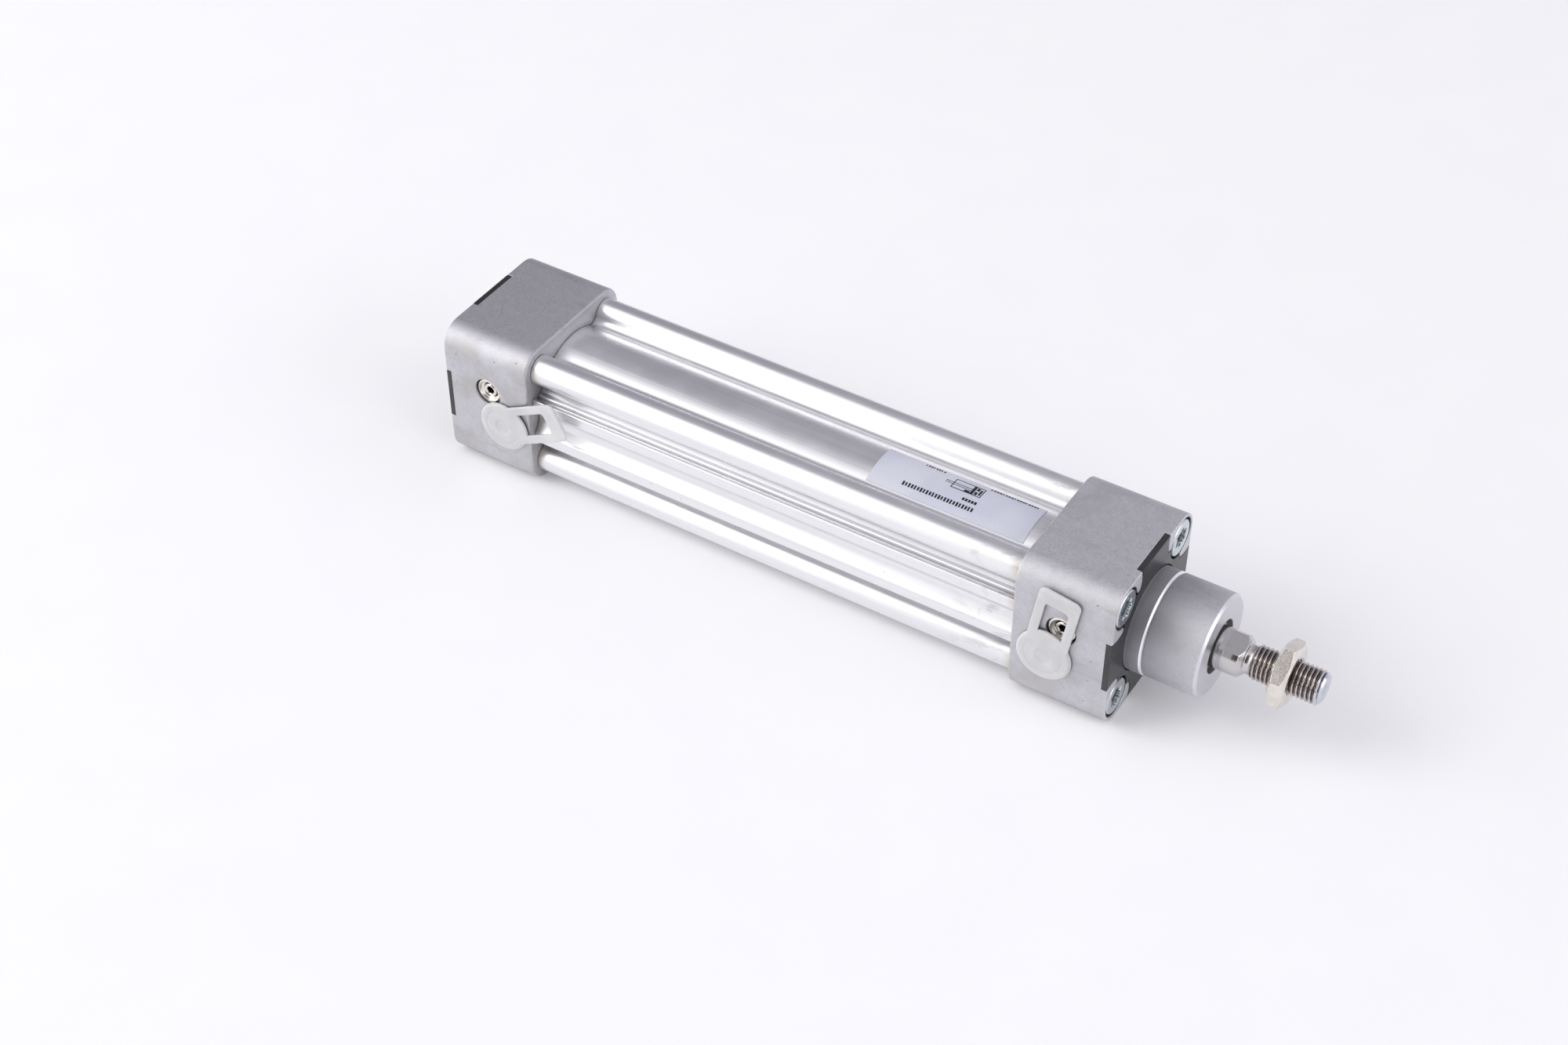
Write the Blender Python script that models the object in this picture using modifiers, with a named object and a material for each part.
"""Profile-tube pneumatic cylinder, 32 mm bore, 125 mm stroke, cushioned at both ends.

Lengths are in millimetres and are multiplied by MM where objects are made. Stations along
the cylinder are measured from the rear cap's mounting face. The world origin is the centre
of the floor of the rear centring recess, so world x is (station - RECESS_DEPTH). +X runs
along the rod, +Z is the label side and -Y is the side with the air ports and cushion screws.
"""
import math

import bmesh
import bpy
from mathutils import Matrix

MM = 0.001
GAP = 0.05                  # clearance between neighbouring pieces

# ---------------------------------------------------------------- dimensions
# Whole cylinder
RECESS_DEPTH = 4.0          # rear centring recess
RECESS_R = 15.0
BORE_R = 16.0
STROKE = 125.0
ROD_OUT = 3.0               # how far the rod stands out of its retracted end
LENGTH = 219.0              # over the two mounting faces
PITCH = 16.25               # half of the 32.5 mm screw square

# End caps
CAP_SIDE = 46.7
CAP_FACE = CAP_SIDE / 2     # from the axis to a side
CAP_CORNER = 7.1
CAP_L = 29.5
CAP_EDGE = 0.5              # bevel
FRONT_S = LENGTH - CAP_L    # inner face of the front cap
SPIGOT_L = 5.0              # cap spigot in the bore
SPIGOT_R = 15.85
SPIGOT_EDGE = 0.5
REAR_SPIGOT_S = CAP_L + SPIGOT_L
FRONT_SPIGOT_S = FRONT_S - SPIGOT_L
ORING_GROOVE = (1.2, 3.8)   # from the cap's inner face
ORING_GROOVE_R = 13.9
CHAMBER_R = 9.0             # cushion chamber
REAR_CHAMBER_S, FRONT_CHAMBER_S = 9.0, 206.5    # its closed ends
SEAL_GROOVE = (1.0, 5.2)    # cushion seal groove, from the spigot's end
SEAL_GROOVE_R = 10.6
BASE_R, COLLAR_R = 15.05, 14.93
STEP_S, COLLAR_S = 224.0, 240.0     # front collar: step between its radii, and its end

# Cover plates
NOTCH_D = 1.8               # recess depth
NOTCH_W = 8.3               # half width of its arms
NOTCH_IN = 17.0             # half side of its square middle
NOTCH_REACH = 52.0          # length of the arm cutters, beyond both sides of the cap
PLATE_T = NOTCH_D - GAP
PLATE_HOLE_R = {"rear": 15.35, "front": 15.4}
PLATE_HOLLOW_R = 6.05       # hollows around the screws

# Flange screws
HEAD_R = 5.5
HEAD_L = 6.0
COUNTERBORE_R = 6.2
SCREW_L = CAP_L + 12.0
# Signs of (y, z), in numbering order
HOLE_CORNERS = ((1, 1), (-1, 1), (-1, -1), (1, -1))
SCREW_CORNERS = ((-1, 1), (1, 1), (1, -1), (-1, -1))

# Ports and cushion screws: (station, z)
PORT = {"rear": (20.4, -4.0), "front": (200.0, -4.2)}
CUSHION = {"rear": (15.0, 6.1), "front": (204.0, 6.1)}
HANDLE_ANGLE = {"rear": 27.0, "front": 81.0}    # plug handle, from +X towards +Z
HANDLE_OUT = 0.9            # handle's middle, out from the cap's side
HANDLE_T = 1.0

# Barrel
BODY_R = 18.4
COLUMN_R = 4.5              # columns around the screws
FILLET_R = 2.5
SCREW_HOLE_R = 3.1
# Upper half of the sensor rail on the -Y side: (y, z)
RAIL_HALF = [
    (-16.55, 8.05), (-17.7, 7.7), (-18.3, 6.5), (-18.7, 6.5), (-19.6, 7.8),
    (-20.85, 7.8), (-20.85, 4.3), (-20.2, 3.9), (-19.2, 2.6), (-18.5, 1.2),
]
LABEL_S = (134.5, 183.6)    # stations of the label's ends
LABEL_ANGLES = (73.0, 117.0)    # from +Y towards +Z
LABEL_OFFSETS = (0.07, 0.17)    # its inner and outer faces, above the barrel

# Piston
PISTON_S = REAR_SPIGOT_S + ROD_OUT + GAP    # rear face
PISTON_L = FRONT_SPIGOT_S - REAR_SPIGOT_S - STROKE - 2 * GAP
PISTON_END = PISTON_S + PISTON_L            # front face
PISTON_HALF_L = PISTON_L / 2 - GAP / 2
SLEEVE_L = 17.0             # cushion sleeves
SLEEVE_R = 8.0
SLEEVE_CHAMFER = 0.8
SPINDLE_HOLE_R = 4.1        # through the pieces on the rod's thin rear end
PISTON_NUT_L = 6.5
PISTON_NUT_HALF = 6.5       # half its width across flats

# Rod
ROD_R = 6.0
SPINDLE_R = 3.95            # thin rear end
SHOULDER_S = 245.0 + ROD_OUT    # end of the full rod diameter
TIP_S = 267.0 + ROD_OUT
THREAD_R = 4.9
FLAT_TURN = 17.0            # the wrench flats lean this far from +Z towards -Y
FLAT_HALF = 5.0             # half the width across them
FLAT_CUT = (7.5, 20.0, 3.0)     # cutter size
FLAT_BACK = 2.95            # cutter's middle, back from the shoulder

# Jam nut
NUT_S, NUT_L = 256.6, 5.0   # inner face and thickness
NUT_HALF = 8.5              # half its width across flats
NUT_TURN = 7.75             # its corner's angle from +Z towards -Y
NUT_FACE_R = 7.6            # flat part of its faces
NUT_BORE_R, NUT_MOUTH_R = 5.05, 5.7

# ---------------------------------------------------------------- scene
for old in list(bpy.data.objects):
    bpy.data.objects.remove(old, do_unlink=True)

PARTS = bpy.data.collections.new("pneumatic_cylinder")
CUTTERS = bpy.data.collections.new("cutters")
for collection in (PARTS, CUTTERS):
    bpy.context.scene.collection.children.link(collection)


# ---------------------------------------------------------------- materials
def material(name, colour, roughness, metallic, alpha=1.0):
    mat = bpy.data.materials.new(name)
    mat.use_nodes = True
    inputs = mat.node_tree.nodes["Principled BSDF"].inputs
    inputs["Base Color"].default_value = (*colour, 1.0)
    inputs["Roughness"].default_value = roughness
    inputs["Metallic"].default_value = metallic
    inputs["Alpha"].default_value = alpha
    return mat


def metal(name, colour, roughness, metallic=1.0):
    return material(name, colour, roughness, metallic)


def nonmetal(name, colour, roughness, alpha=1.0):
    return material(name, colour, roughness, metallic=0.0, alpha=alpha)


CAST = metal("cast_aluminium", colour=(0.55, 0.55, 0.56), roughness=0.45, metallic=0.9)
ANODISED = metal("anodised_extrusion", colour=(0.80, 0.80, 0.82), roughness=0.28)
ZINC = metal("zinc_plated_steel", colour=(0.62, 0.70, 0.72), roughness=0.25)
NICKEL = metal("nickel_plated_brass", colour=(0.72, 0.68, 0.60), roughness=0.22)
ROD_STEEL = metal("hard_chromed_steel", colour=(0.70, 0.70, 0.70), roughness=0.15)
PISTON_ALU = metal("piston_aluminium", colour=(0.72, 0.72, 0.74), roughness=0.35)
BRONZE = metal("sintered_bronze", colour=(0.45, 0.30, 0.15), roughness=0.5)
BRASS = metal("brass_sleeve", colour=(0.75, 0.58, 0.28), roughness=0.3)
BLACK_PLASTIC = nonmetal("black_plastic", colour=(0.03, 0.03, 0.035), roughness=0.45)
PLUG_PLASTIC = nonmetal("clear_plug_plastic", colour=(0.88, 0.90, 0.86), roughness=0.35, alpha=0.6)
LABEL_FILM = nonmetal("label_film", colour=(0.66, 0.69, 0.80), roughness=0.2)
NBR = nonmetal("black_seal_rubber", colour=(0.02, 0.02, 0.02), roughness=0.6)
PU = nonmetal("polyurethane_seal", colour=(0.30, 0.27, 0.12), roughness=0.5)
PTFE = nonmetal("bearing_plastic", colour=(0.20, 0.13, 0.08), roughness=0.5)
MAGNET = nonmetal("plastic_magnet", colour=(0.08, 0.07, 0.07), roughness=0.6)

# ---------------------------------------------------------------- building tools
ALONG_X = (0.0, math.pi / 2, 0.0)      # local +Z becomes world +X
OUT_Y = (math.pi / 2, 0.0, 0.0)        # local +Z becomes world -Y
SHARP_ANGLE = 35.0


def world(station, y, z):
    return ((station - RECESS_DEPTH) * MM, y * MM, z * MM)


def finish(ob, mat):
    ob.data.materials.clear()
    ob.data.materials.append(mat)
    if len(ob.data.polygons):   # a turned piece is only edges until its modifier runs
        ob.data.shade_smooth()
        ob.data.set_sharp_from_angle(angle=math.radians(SHARP_ANGLE))


def link(ob, cutter=False):
    if cutter:
        ob.hide_render = True
        ob.display_type = "WIRE"
    (CUTTERS if cutter else PARTS).objects.link(ob)


def turned(name, profile, steps, station=0.0, y=0.0, z=0.0,
           closed=False, out_y=False, cutter=False):
    """A turned piece. profile is (height, radius); its axis is X, or -Y with out_y."""
    mesh = bpy.data.meshes.new(name)
    points = [(radius * MM, 0.0, height * MM) for height, radius in profile]
    edges = [(i, i + 1) for i in range(len(points) - 1)]
    if closed:
        edges.append((len(points) - 1, 0))
    mesh.from_pydata(points, edges, [])
    ob = bpy.data.objects.new(name, mesh)
    link(ob, cutter)
    ob.location = world(station, y, z)
    ob.rotation_euler = OUT_Y if out_y else ALONG_X
    screw = ob.modifiers.new("turn", "SCREW")
    screw.axis = "Z"
    screw.angle = 2 * math.pi
    screw.steps = screw.render_steps = steps
    screw.use_merge_vertices = True
    screw.merge_threshold = 1e-6
    screw.use_smooth_shade = True
    return ob


def ring(name, start, end, r_in, r_out, steps, chamfer=0.0):
    """A ring around the axis between two stations, its outer edges chamfered if asked."""
    length = end - start
    if chamfer:
        profile = [(length, r_out - chamfer), (length - chamfer, r_out),
                   (chamfer, r_out), (0, r_out - chamfer)]
    else:
        profile = [(length, r_out), (0, r_out)]
    profile += [(0, r_in), (length, r_in)]
    return turned(name, profile, steps, start, closed=True)


def rod_cutter(name, start, end, radius, steps):
    length = end - start
    profile = [(length, 0), (length, radius), (0, radius), (0, 0)]
    return turned(name, profile, steps, start, cutter=True)


def box_cutter(name, size, station, y=0.0, z=0.0):
    bpy.ops.mesh.primitive_cube_add(size=1.0)
    box = bpy.context.active_object
    box.name = name
    box.scale = [side * MM for side in size]
    box.location = world(station, y, z)
    bpy.ops.object.transform_apply(location=False, rotation=False, scale=True)
    for owner in list(box.users_collection):
        owner.objects.unlink(box)
    link(box, cutter=True)
    return box


def prism(name, outlines, depth, station, y=0.0, z=0.0, out_y=False, cutter=False):
    """Flat outlines given a thickness around a middle point.

    Outlines are world (y, z) for a prism along X, or (x, z) for one along Y with out_y.
    Those inside the first are holes.
    """
    if not out_y:
        outlines = [[(-pz, py) for py, pz in outline] for outline in outlines]
    curve = bpy.data.curves.new(name, "CURVE")
    curve.dimensions = "2D"
    curve.fill_mode = "BOTH"
    curve.extrude = depth * MM / 2
    for outline in outlines:
        spline = curve.splines.new("POLY")
        spline.points.add(len(outline) - 1)
        for point, (across, up) in zip(spline.points, outline):
            point.co = (across * MM, up * MM, 0.0, 1.0)
        spline.use_cyclic_u = True
    flat = bpy.data.objects.new(name + "_outline", curve)
    link(flat)
    flat.location = world(station, y, z)
    flat.rotation_euler = OUT_Y if out_y else ALONG_X
    bpy.context.view_layer.update()
    evaluated = flat.evaluated_get(bpy.context.evaluated_depsgraph_get())
    mesh = bpy.data.meshes.new_from_object(evaluated)
    mesh.name = name

    # The curve's faces and sides come unjoined
    bm = bmesh.new()
    bm.from_mesh(mesh)
    bmesh.ops.remove_doubles(bm, verts=bm.verts, dist=1e-6)
    bmesh.ops.recalc_face_normals(bm, faces=bm.faces)
    bm.to_mesh(mesh)
    bm.free()
    ob = bpy.data.objects.new(name, mesh)
    link(ob, cutter)
    ob.matrix_world = flat.matrix_world.copy()
    bpy.data.objects.remove(flat, do_unlink=True)
    return ob


def hexagon(name, half_flats, length, middle, corner_turn=None):
    """A hexagonal bar along X; corner_turn puts a corner that far from +Z towards -Y."""
    radius = half_flats / math.cos(math.pi / 6) * MM
    bm = bmesh.new()
    bmesh.ops.create_cone(bm, cap_ends=True, segments=6, radius1=radius, radius2=radius,
                          depth=length * MM)
    if corner_turn is not None:
        corner = max(bm.verts, key=lambda v: (v.co.z, v.co.x)).co
        spin = math.pi + math.radians(corner_turn) - math.atan2(corner.y, corner.x)
        bmesh.ops.rotate(bm, verts=bm.verts, matrix=Matrix.Rotation(spin, 3, "Z"))
    mesh = bpy.data.meshes.new(name)
    bm.to_mesh(mesh)
    bm.free()
    ob = bpy.data.objects.new(name, mesh)
    link(ob)
    ob.location = world(middle, 0, 0)
    ob.rotation_euler = ALONG_X
    return ob


def boolean(ob, other, operation="DIFFERENCE"):
    modifier = ob.modifiers.new(other.name, "BOOLEAN")
    modifier.operation = operation
    modifier.solver = "EXACT"
    modifier.object = other


def arc(cx, cy, radius, start, end, count):
    """count + 1 points from angle start to angle end, in degrees."""
    angles = [math.radians(start + (end - start) * i / count) for i in range(count + 1)]
    return [(cx + radius * math.cos(t), cy + radius * math.sin(t)) for t in angles]


def circle(cx, cy, radius, count):
    return arc(cx, cy, radius, 0, 360, count)[:-1]


def rotated(points, degrees):
    cos, sin = math.cos(math.radians(degrees)), math.sin(math.radians(degrees))
    return [(x * cos - y * sin, x * sin + y * cos) for x, y in points]


def from_face(profile, end, span=0.0):
    """A (depth from the mounting face, radius) profile as heights for one end."""
    if end == "rear":
        return profile[::-1]
    return [(span - depth, radius) for depth, radius in profile]


def o_ring_section(height, radius, thickness_r):
    angles = [2 * math.pi * i / 6 for i in range(6)]
    return [(height + thickness_r * math.cos(t), radius + thickness_r * math.sin(t))
            for t in angles]


# ---------------------------------------------------------------- end caps
def cap_block(name, start):
    centre = CAP_FACE - CAP_CORNER
    outline = []
    for sy, sz, angle in ((1, 1, 0), (-1, 1, 90), (-1, -1, 180), (1, -1, 270)):
        outline += arc(sy * centre, sz * centre, CAP_CORNER, angle, angle + 90, 4)
    cap = prism(name, [outline], CAP_L, start + CAP_L / 2)
    bevel = cap.modifiers.new("edges", "BEVEL")
    bevel.width = CAP_EDGE * MM
    bevel.segments = 1
    bevel.limit_method = "ANGLE"
    bevel.angle_limit = math.radians(60)
    return cap


def cut_plate_recess(cap, end):
    """Recess for the cover plate: a square middle and four arms out through the sides."""
    over = 1.0              # cutters stand this far out of the mounting face
    middle = (NOTCH_D - over) / 2 if end == "rear" else LENGTH - (NOTCH_D - over) / 2
    for part, size_y, size_z in (("middle", 2 * NOTCH_IN, 2 * NOTCH_IN),
                                 ("arms_y", NOTCH_REACH, 2 * NOTCH_W),
                                 ("arms_z", 2 * NOTCH_W, NOTCH_REACH)):
        size = (NOTCH_D + over, size_y, size_z)
        boolean(cap, box_cutter(f"{end}_recess_{part}", size, middle))


def cut_holes(cap, end):
    """Screw holes, port and cushion screw hole of one cap."""
    # (depth, radius): counterbore, clearance for the thick shank, clearance for the thread
    head_floor = HEAD_L + GAP
    profile = [(-1, 0), (-1, COUNTERBORE_R), (head_floor, COUNTERBORE_R), (head_floor, 4.5),
               (21, 4.5), (21, 3.4), (CAP_L + 1, 3.4), (CAP_L + 1, 0)]
    start = 0.0 if end == "rear" else FRONT_S
    for i, (sy, sz) in enumerate(HOLE_CORNERS, 1):
        boolean(cap, turned(f"{end}_screw_hole_{i}", from_face(profile, end, CAP_L), 14,
                            start, sy * PITCH, sz * PITCH, cutter=True))

    # G1/8 port, (distance out from the axis, radius): thread bore, then the air passage
    station, z = PORT[end]
    profile = [(24.5, 0), (24.5, 4.5), (15.0, 4.5), (15.0, 2.6), (6.0, 2.6), (6.0, 0)]
    boolean(cap, turned(f"{end}_port_cut", profile, 16, station, z=z, out_y=True, cutter=True))

    # Cushion screw hole, same columns: bush seat, needle bore, passage
    station, z = CUSHION[end]
    profile = [(24.5, 0), (24.5, 4.4), (17.3, 4.4), (17.3, 2.35),
               (12.3, 2.35), (12.3, 1.1), (4.5, 1.1), (4.5, 0)]
    boolean(cap, turned(f"{end}_cushion_cut", profile, 16, station, z=z, out_y=True, cutter=True))
    weld = cap.modifiers.new("weld", "WELD")
    weld.merge_threshold = 2e-6


def rear_cap():
    cap = cap_block("rear_cap", 0.0)
    near, far = ORING_GROOVE
    # (station, radius)
    spigot = [
        (REAR_SPIGOT_S, 0), (REAR_SPIGOT_S, SPIGOT_R - SPIGOT_EDGE),
        (REAR_SPIGOT_S - SPIGOT_EDGE, SPIGOT_R),
        (CAP_L + far, SPIGOT_R), (CAP_L + far, ORING_GROOVE_R),
        (CAP_L + near, ORING_GROOVE_R), (CAP_L + near, SPIGOT_R),
        (CAP_L - 3, SPIGOT_R), (CAP_L - 3, 0),
    ]
    boolean(cap, turned("rear_spigot", spigot, 24, cutter=True), "UNION")
    cut_plate_recess(cap, "rear")
    boolean(cap, rod_cutter("rear_centring_recess", -1.0, RECESS_DEPTH, RECESS_R, 28))
    near, far = SEAL_GROOVE
    bore = [
        (REAR_SPIGOT_S + 1, 0), (REAR_SPIGOT_S + 1, CHAMBER_R),
        (REAR_SPIGOT_S - near, CHAMBER_R), (REAR_SPIGOT_S - near, SEAL_GROOVE_R),
        (REAR_SPIGOT_S - far, SEAL_GROOVE_R), (REAR_SPIGOT_S - far, CHAMBER_R),
        (REAR_CHAMBER_S, CHAMBER_R), (REAR_CHAMBER_S, 0),
    ]
    boolean(cap, turned("rear_bore", bore, 24, cutter=True))
    cut_holes(cap, "rear")
    finish(cap, CAST)


def front_cap():
    cap = cap_block("front_cap", FRONT_S)
    cut_plate_recess(cap, "front")
    near, far = ORING_GROOVE
    # Collar, hidden core and spigot: (station, radius)
    core = [
        (COLLAR_S, 0), (COLLAR_S, COLLAR_R - 0.8), (COLLAR_S - 0.8, COLLAR_R),
        (STEP_S + 0.5, COLLAR_R), (STEP_S + 0.2, COLLAR_R - 0.25), (STEP_S - 0.4, BASE_R),
        (LENGTH - 6, BASE_R), (LENGTH - 6, 13.0), (FRONT_S + 3, 13.0), (FRONT_S + 3, SPIGOT_R),
        (FRONT_S - near, SPIGOT_R), (FRONT_S - near, ORING_GROOVE_R),
        (FRONT_S - far, ORING_GROOVE_R), (FRONT_S - far, SPIGOT_R),
        (FRONT_SPIGOT_S + SPIGOT_EDGE, SPIGOT_R),
        (FRONT_SPIGOT_S, SPIGOT_R - SPIGOT_EDGE), (FRONT_SPIGOT_S, 0),
    ]
    boolean(cap, turned("front_core", core, 24, cutter=True), "UNION")
    near, far = SEAL_GROOVE
    # Mouth, rod seal groove, bush seat, then cushion chamber with its seal groove
    bore = [
        (COLLAR_S + 1, 0), (COLLAR_S + 1, 7.8), (238.4, 7.8), (238.4, 9.2),
        (231.0, 9.2), (231.0, 7.6), (FRONT_CHAMBER_S, 7.6), (FRONT_CHAMBER_S, CHAMBER_R),
        (FRONT_SPIGOT_S + far, CHAMBER_R), (FRONT_SPIGOT_S + far, SEAL_GROOVE_R),
        (FRONT_SPIGOT_S + near, SEAL_GROOVE_R), (FRONT_SPIGOT_S + near, CHAMBER_R),
        (FRONT_SPIGOT_S - 1, CHAMBER_R), (FRONT_SPIGOT_S - 1, 0),
    ]
    boolean(cap, turned("front_bore", bore, 24, cutter=True))
    cut_holes(cap, "front")
    finish(cap, CAST)


# ---------------------------------------------------------------- barrel and label
def barrel_outline():
    """The extrusion's outline, anticlockwise in (y, z), with sensor rails on both y sides."""
    # A column lying on the first axis, with the centres of its two fillets at (along, +-side)
    column_d = PITCH * math.sqrt(2)
    body_reach, column_reach = BODY_R + FILLET_R, COLUMN_R + FILLET_R
    along = (body_reach ** 2 - column_reach ** 2 + column_d ** 2) / (2 * column_d)
    side = math.sqrt(body_reach ** 2 - along ** 2)
    spread = math.degrees(math.atan2(side, along))              # fillet seen from the axis
    wrap = math.degrees(math.atan2(side, along - column_d))     # fillet seen from the column
    column = arc(along, -side, FILLET_R, 180 - spread, 180 - wrap, 3)
    column += arc(column_d, 0, COLUMN_R, -wrap, wrap, 10)[1:-1]
    column += arc(along, side, FILLET_R, 180 + wrap, 180 + spread, 3)

    rail_y, rail_z = RAIL_HALF[0]
    rail_angle = math.degrees(math.atan2(rail_z, -rail_y))
    half = rotated(column, 45)
    half += arc(0, 0, BODY_R, 45 + spread, 135 - spread, 6)[1:-1]
    half += rotated(column, 135)
    half += arc(0, 0, BODY_R, 135 + spread, 180 - rail_angle, 2)[1:-1]
    half += RAIL_HALF + [(y, -z) for y, z in reversed(RAIL_HALF)]
    half += arc(0, 0, BODY_R, 180 + rail_angle, 225 - spread, 2)[1:-1]
    return half + [(-y, -z) for y, z in half]


def barrel():
    outlines = [barrel_outline(), circle(0, 0, BORE_R, 48)]
    for sy in (1, -1):
        for sz in (1, -1):
            outlines.append(circle(sy * PITCH, sz * PITCH, SCREW_HOLE_R, 16))
    length = FRONT_S - CAP_L - 2 * GAP
    finish(prism("barrel", outlines, length, (CAP_L + FRONT_S) / 2), ANODISED)


def type_label():
    """Film wrapped over the top of the barrel between the columns."""
    start, end = LABEL_S
    angle_0, angle_1 = LABEL_ANGLES
    inner, outer = LABEL_OFFSETS
    outline = arc(0, 0, BODY_R + outer, angle_0, angle_1, 9)
    outline += arc(0, 0, BODY_R + inner, angle_1, angle_0, 9)
    finish(prism("type_label", [outline], end - start, (start + end) / 2), LABEL_FILM)


# ---------------------------------------------------------------- fittings of each cap
def flange_screws(end):
    # (depth below the head's face, radius): socket and inner thread, then the outside
    profile = [
        (15.0, 0), (15.0, 2.5), (3.2, 2.5), (3.2, 3.3), (0, 3.3),
        (0, HEAD_R - 0.4), (0.4, HEAD_R), (HEAD_L, HEAD_R), (HEAD_L, 4.2),
        (20.5, 4.2), (20.5, 2.9), (SCREW_L, 2.9), (SCREW_L, 0),
    ]
    face = 0.0 if end == "rear" else LENGTH
    for i, (sy, sz) in enumerate(SCREW_CORNERS, 1):
        screw = turned(f"{end}_flange_screw_{i}", from_face(profile, end), 12,
                       face, sy * PITCH, sz * PITCH)
        finish(screw, ZINC)


def cover_plate(end):
    """Plus-shaped plastic insert with hollows round the screw heads."""
    arm = NOTCH_W - 0.12
    square = NOTCH_IN - 0.15
    # The hollow stops where it meets the sides of the square middle
    dip = math.degrees(math.asin((square - PITCH) / PLATE_HOLLOW_R))
    quarter = [(CAP_FACE, -arm), (CAP_FACE, arm), (square, arm)]
    quarter += arc(PITCH, PITCH, PLATE_HOLLOW_R, 270 + dip, 180 - dip, 6)
    quarter += [(arm, square)]
    outline = []
    for k in range(4):
        outline += rotated(quarter, 90 * k)
    start = 0.0 if end == "rear" else LENGTH - NOTCH_D + GAP
    plate = prism(f"{end}_cover_plate", [outline, circle(0, 0, PLATE_HOLE_R[end], 28)],
                  PLATE_T, start + PLATE_T / 2)
    finish(plate, BLACK_PLASTIC)


def cushion_screw(end):
    """Bush, needle screw and its O-ring; heights are distances out from the axis."""
    station, z = CUSHION[end]
    bush = [
        (22.8, 3.6), (22.5, 4.3), (17.4, 4.3), (17.4, 2.3),
        (21.6, 2.3), (22.0, 2.8), (22.0, 3.4), (22.8, 3.4),
    ]
    finish(turned(f"{end}_cushion_bush", bush, 14, station, z=z, closed=True, out_y=True), NICKEL)
    # Recessed head inside the bush, O-ring neck, metering tip
    needle = [
        (20.0, 0), (20.0, 1.25), (22.1, 1.25), (22.1, 1.9), (21.9, 2.15),
        (16.6, 2.15), (16.4, 1.35), (15.0, 1.35), (14.8, 2.0), (13.6, 2.0),
        (13.2, 0.8), (10.6, 0.35), (10.6, 0),
    ]
    finish(turned(f"{end}_cushion_screw", needle, 12, station, z=z, out_y=True), NICKEL)
    section = o_ring_section(height=15.7, radius=1.82, thickness_r=0.35)
    finish(turned(f"{end}_cushion_o_ring", section, 12, station, z=z, closed=True, out_y=True),
           NBR)


def strap_outline(start, end, half_width, corner_r):
    """A strip along the first axis, rounded at its far end."""
    centre_x, centre_y = end - corner_r, half_width - corner_r
    outline = arc(centre_x, centre_y, corner_r, 90, 0, 3)
    outline += arc(centre_x, -centre_y, corner_r, 0, -90, 3)
    return outline + [(start, -half_width), (start, half_width)]


def port_plug(end):
    """Pull-out transport plug: hollow stem, disc and a flat ring handle."""
    station, z = PORT[end]
    # (distance out from the axis, radius)
    profile = [
        (CAP_FACE + 0.75, 0), (CAP_FACE + 0.75, 2.2), (CAP_FACE + 1.35, 2.6),
        (CAP_FACE + 1.35, 5.6), (CAP_FACE + 0.9, 6.0), (CAP_FACE + 0.9, 7.8),
        (CAP_FACE + 0.5, 8.2), (CAP_FACE + 0.12, 8.2), (CAP_FACE + 0.12, 4.2),
        (16.2, 3.9), (16.2, 2.9), (CAP_FACE - 0.6, 3.0), (CAP_FACE - 0.6, 0),
    ]
    plug = turned(f"{end}_port_plug", profile, 20, station, z=z, out_y=True)
    outer = strap_outline(start=5.0, end=24.0, half_width=6.2, corner_r=1.6)
    inner = strap_outline(start=8.7, end=19.0, half_width=3.55, corner_r=0.6)
    outlines = [rotated(outline, HANDLE_ANGLE[end]) for outline in (outer, inner)]
    handle = prism(f"{end}_plug_handle", outlines, HANDLE_T, station, -(CAP_FACE + HANDLE_OUT), z,
                   out_y=True, cutter=True)
    boolean(plug, handle, "UNION")
    finish(plug, PLUG_PLASTIC)


# ---------------------------------------------------------------- rod and its nut
def piston_rod():
    # (station, radius)
    spindle_end = PISTON_S - SLEEVE_L - 7.2
    profile = [
        (TIP_S, 0), (TIP_S, THREAD_R - 1.0), (TIP_S - 1.0, THREAD_R),
        (SHOULDER_S + 2.2, THREAD_R), (SHOULDER_S + 2.0, 4.2), (SHOULDER_S + 0.5, 4.2),
        (SHOULDER_S, 4.9), (SHOULDER_S - 1.1, ROD_R),
        (PISTON_END + GAP, ROD_R), (PISTON_END + GAP, SPINDLE_R),
        (spindle_end + 0.4, SPINDLE_R), (spindle_end, 3.5), (spindle_end, 0),
    ]
    rod = turned("piston_rod", profile, 24)
    lean = math.radians(FLAT_TURN)
    reach = FLAT_HALF + FLAT_CUT[2] / 2
    for letter, side in (("a", 1), ("b", -1)):
        flat = box_cutter(f"wrench_flat_{letter}", FLAT_CUT, SHOULDER_S - FLAT_BACK,
                          -side * reach * math.sin(lean), side * reach * math.cos(lean))
        flat.rotation_euler = (lean, 0.0, 0.0)
        boolean(rod, flat)
    finish(rod, ROD_STEEL)


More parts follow.
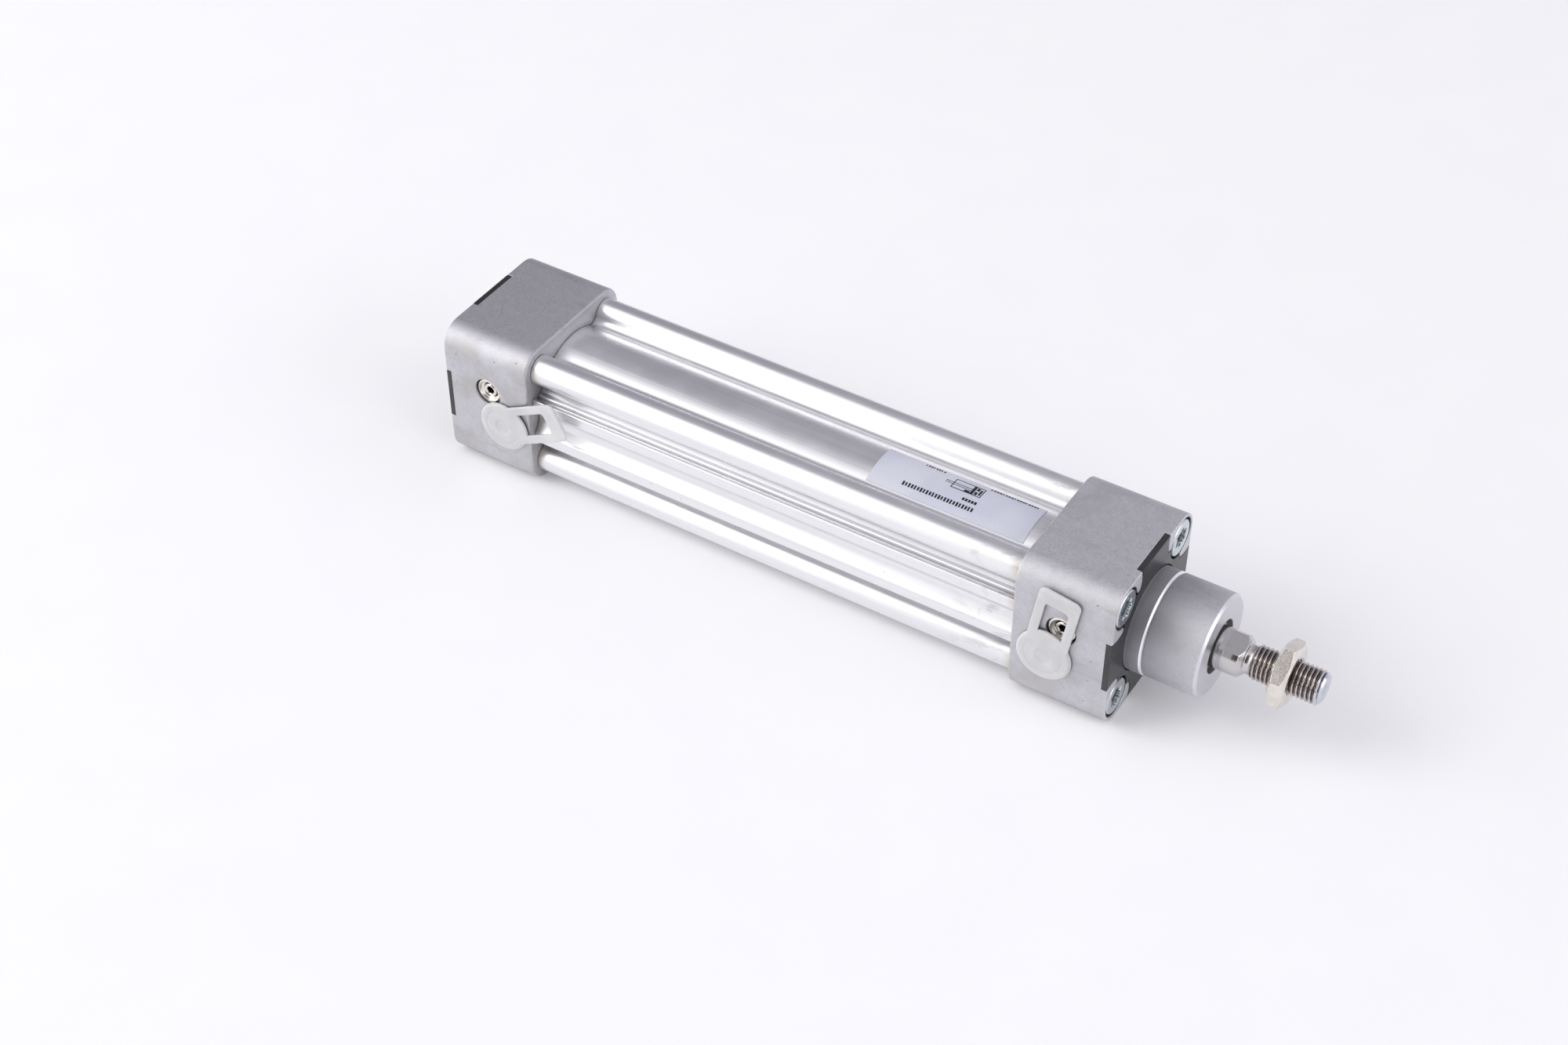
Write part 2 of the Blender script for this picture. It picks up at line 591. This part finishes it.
def rod_nut():
    """Jam nut, both faces chamfered at 30 degrees."""
    half = NUT_L / 2
    middle = NUT_S + half
    nut = hexagon("rod_nut", NUT_HALF, NUT_L, middle, NUT_TURN)
    slope = math.tan(math.pi / 6)
    over, depth = 0.3, 1.5      # the chamfer cone's reach beyond and behind each face
    tip_r, root_r = NUT_FACE_R - over / slope, NUT_FACE_R + depth / slope
    cone = [(half + over, 0), (half + over, tip_r), (half - depth, root_r),
            (-half + depth, root_r), (-half - over, tip_r), (-half - over, 0)]
    boolean(nut, turned("nut_chamfers", cone, 24, middle, cutter=True), "INTERSECT")
    bore = [(half + 0.5, 0), (half + 0.5, NUT_MOUTH_R), (half - 0.3, NUT_BORE_R),
            (0.3 - half, NUT_BORE_R), (-half - 0.5, NUT_MOUTH_R), (-half - 0.5, 0)]
    boolean(nut, turned("nut_bore", bore, 20, middle, cutter=True))
    finish(nut, NICKEL)


# ---------------------------------------------------------------- piston
def piston():
    """Two halves clamped round the magnet, with a guide ring over the joint."""
    half = PISTON_HALF_L
    # (height, radius): guide ring seat, seal groove, outer face, hole, magnet pocket
    rear = [
        (half, 13.9), (9.4, 13.9), (9.4, 15.6), (7.2, 15.6), (7.2, 12.4), (3.2, 12.4),
        (3.2, 15.5), (0, 15.5), (0, SPINDLE_HOLE_R), (half, SPINDLE_HOLE_R),
        (half, 9.0), (10.0, 9.0), (10.0, 12.8), (half, 12.8),
    ]
    # The mirrored section, listed from its outer face
    front = [
        (half, 15.5), (half - 3.2, 15.5), (half - 3.2, 12.4), (half - 7.2, 12.4),
        (half - 7.2, 15.6), (half - 9.4, 15.6), (half - 9.4, 13.9), (0, 13.9),
        (0, 12.8), (half - 10.0, 12.8), (half - 10.0, 9.0), (0, 9.0),
        (0, SPINDLE_HOLE_R), (half, SPINDLE_HOLE_R),
    ]
    finish(turned("piston_rear_half", rear, 24, PISTON_S, closed=True), PISTON_ALU)
    finish(turned("piston_front_half", front, 24, PISTON_END - half, closed=True), PISTON_ALU)
    finish(ring("piston_magnet", PISTON_S + 10.1, PISTON_END - 10.1, 9.15, 12.6, 24), MAGNET)
    finish(ring("piston_guide_ring", PISTON_S + 9.5, PISTON_END - 9.5, 14.05, 15.9, 24), PTFE)


def piston_seals():
    """U-rings in their grooves with the lips towards the piston's outer faces."""
    profile = [(3.7, 15.88), (0.0, 15.4), (0.0, 12.6), (3.7, 12.55),
               (3.7, 13.4), (2.0, 14.2), (3.7, 15.0)]
    flipped = [(3.8 - height, radius) for height, radius in reversed(profile)]
    finish(turned("piston_front_seal", profile, 24, PISTON_END - 7.15, closed=True), NBR)
    finish(turned("piston_rear_seal", flipped, 24, PISTON_S + 3.3, closed=True), NBR)


def cushion_sleeves():
    finish(ring("rear_cushion_sleeve", PISTON_S - GAP - SLEEVE_L, PISTON_S - GAP,
                SPINDLE_HOLE_R, SLEEVE_R, 20, SLEEVE_CHAMFER), BRASS)
    finish(ring("front_cushion_sleeve", PISTON_END + 2 * GAP, PISTON_END + SLEEVE_L,
                6.15, SLEEVE_R, 20, SLEEVE_CHAMFER), BRASS)


def piston_nut():
    """The nut that clamps the piston, behind the rear cushion sleeve."""
    middle = PISTON_S - 2 * GAP - SLEEVE_L - PISTON_NUT_L / 2
    nut = hexagon("piston_nut", PISTON_NUT_HALF, PISTON_NUT_L, middle)
    sleeve_end = PISTON_S - SLEEVE_L
    boolean(nut, rod_cutter("piston_nut_bore", sleeve_end - 8, sleeve_end + 1,
                            SPINDLE_HOLE_R, 16))
    finish(nut, ZINC)


# ---------------------------------------------------------------- seals and bush in the caps
def cushion_seals():
    profile = [(3.7, 9.2), (3.7, 10.4), (0.1, 10.4), (0.1, 9.2), (1.5, 8.2), (2.3, 8.2)]
    for end, start in (("rear", REAR_SPIGOT_S - 5.1), ("front", FRONT_SPIGOT_S + 1.15)):
        finish(turned(f"{end}_cushion_seal", profile, 20, start, closed=True), PU)


def rod_bush_and_seal():
    finish(ring("rod_bush", 207.0, 230.6, 6.12, 7.5, 24), BRONZE)
    seal = [
        (7.1, 6.9), (7.1, 9.1), (0, 9.1), (0, 8.2), (2.0, 7.6),
        (0, 6.7), (0, 6.15), (1.5, 6.12), (5.4, 6.5), (6.6, 6.12),
    ]
    finish(turned("rod_seal", seal, 24, 231.15, closed=True), PU)


def barrel_o_rings():
    middle = sum(ORING_GROOVE) / 2
    section = o_ring_section(height=0.0, radius=14.9, thickness_r=0.93)
    for end, station in (("rear", CAP_L + middle), ("front", FRONT_S - middle)):
        finish(turned(f"{end}_barrel_o_ring", section, 24, station, closed=True), NBR)


# ---------------------------------------------------------------- assembly
rear_cap()
front_cap()
barrel()
type_label()
for fitting in (flange_screws, cover_plate, cushion_screw, port_plug):
    for cap_end in ("rear", "front"):
        fitting(cap_end)
piston_rod()
rod_nut()
piston()
piston_seals()
cushion_sleeves()
piston_nut()
cushion_seals()
rod_bush_and_seal()
barrel_o_rings()
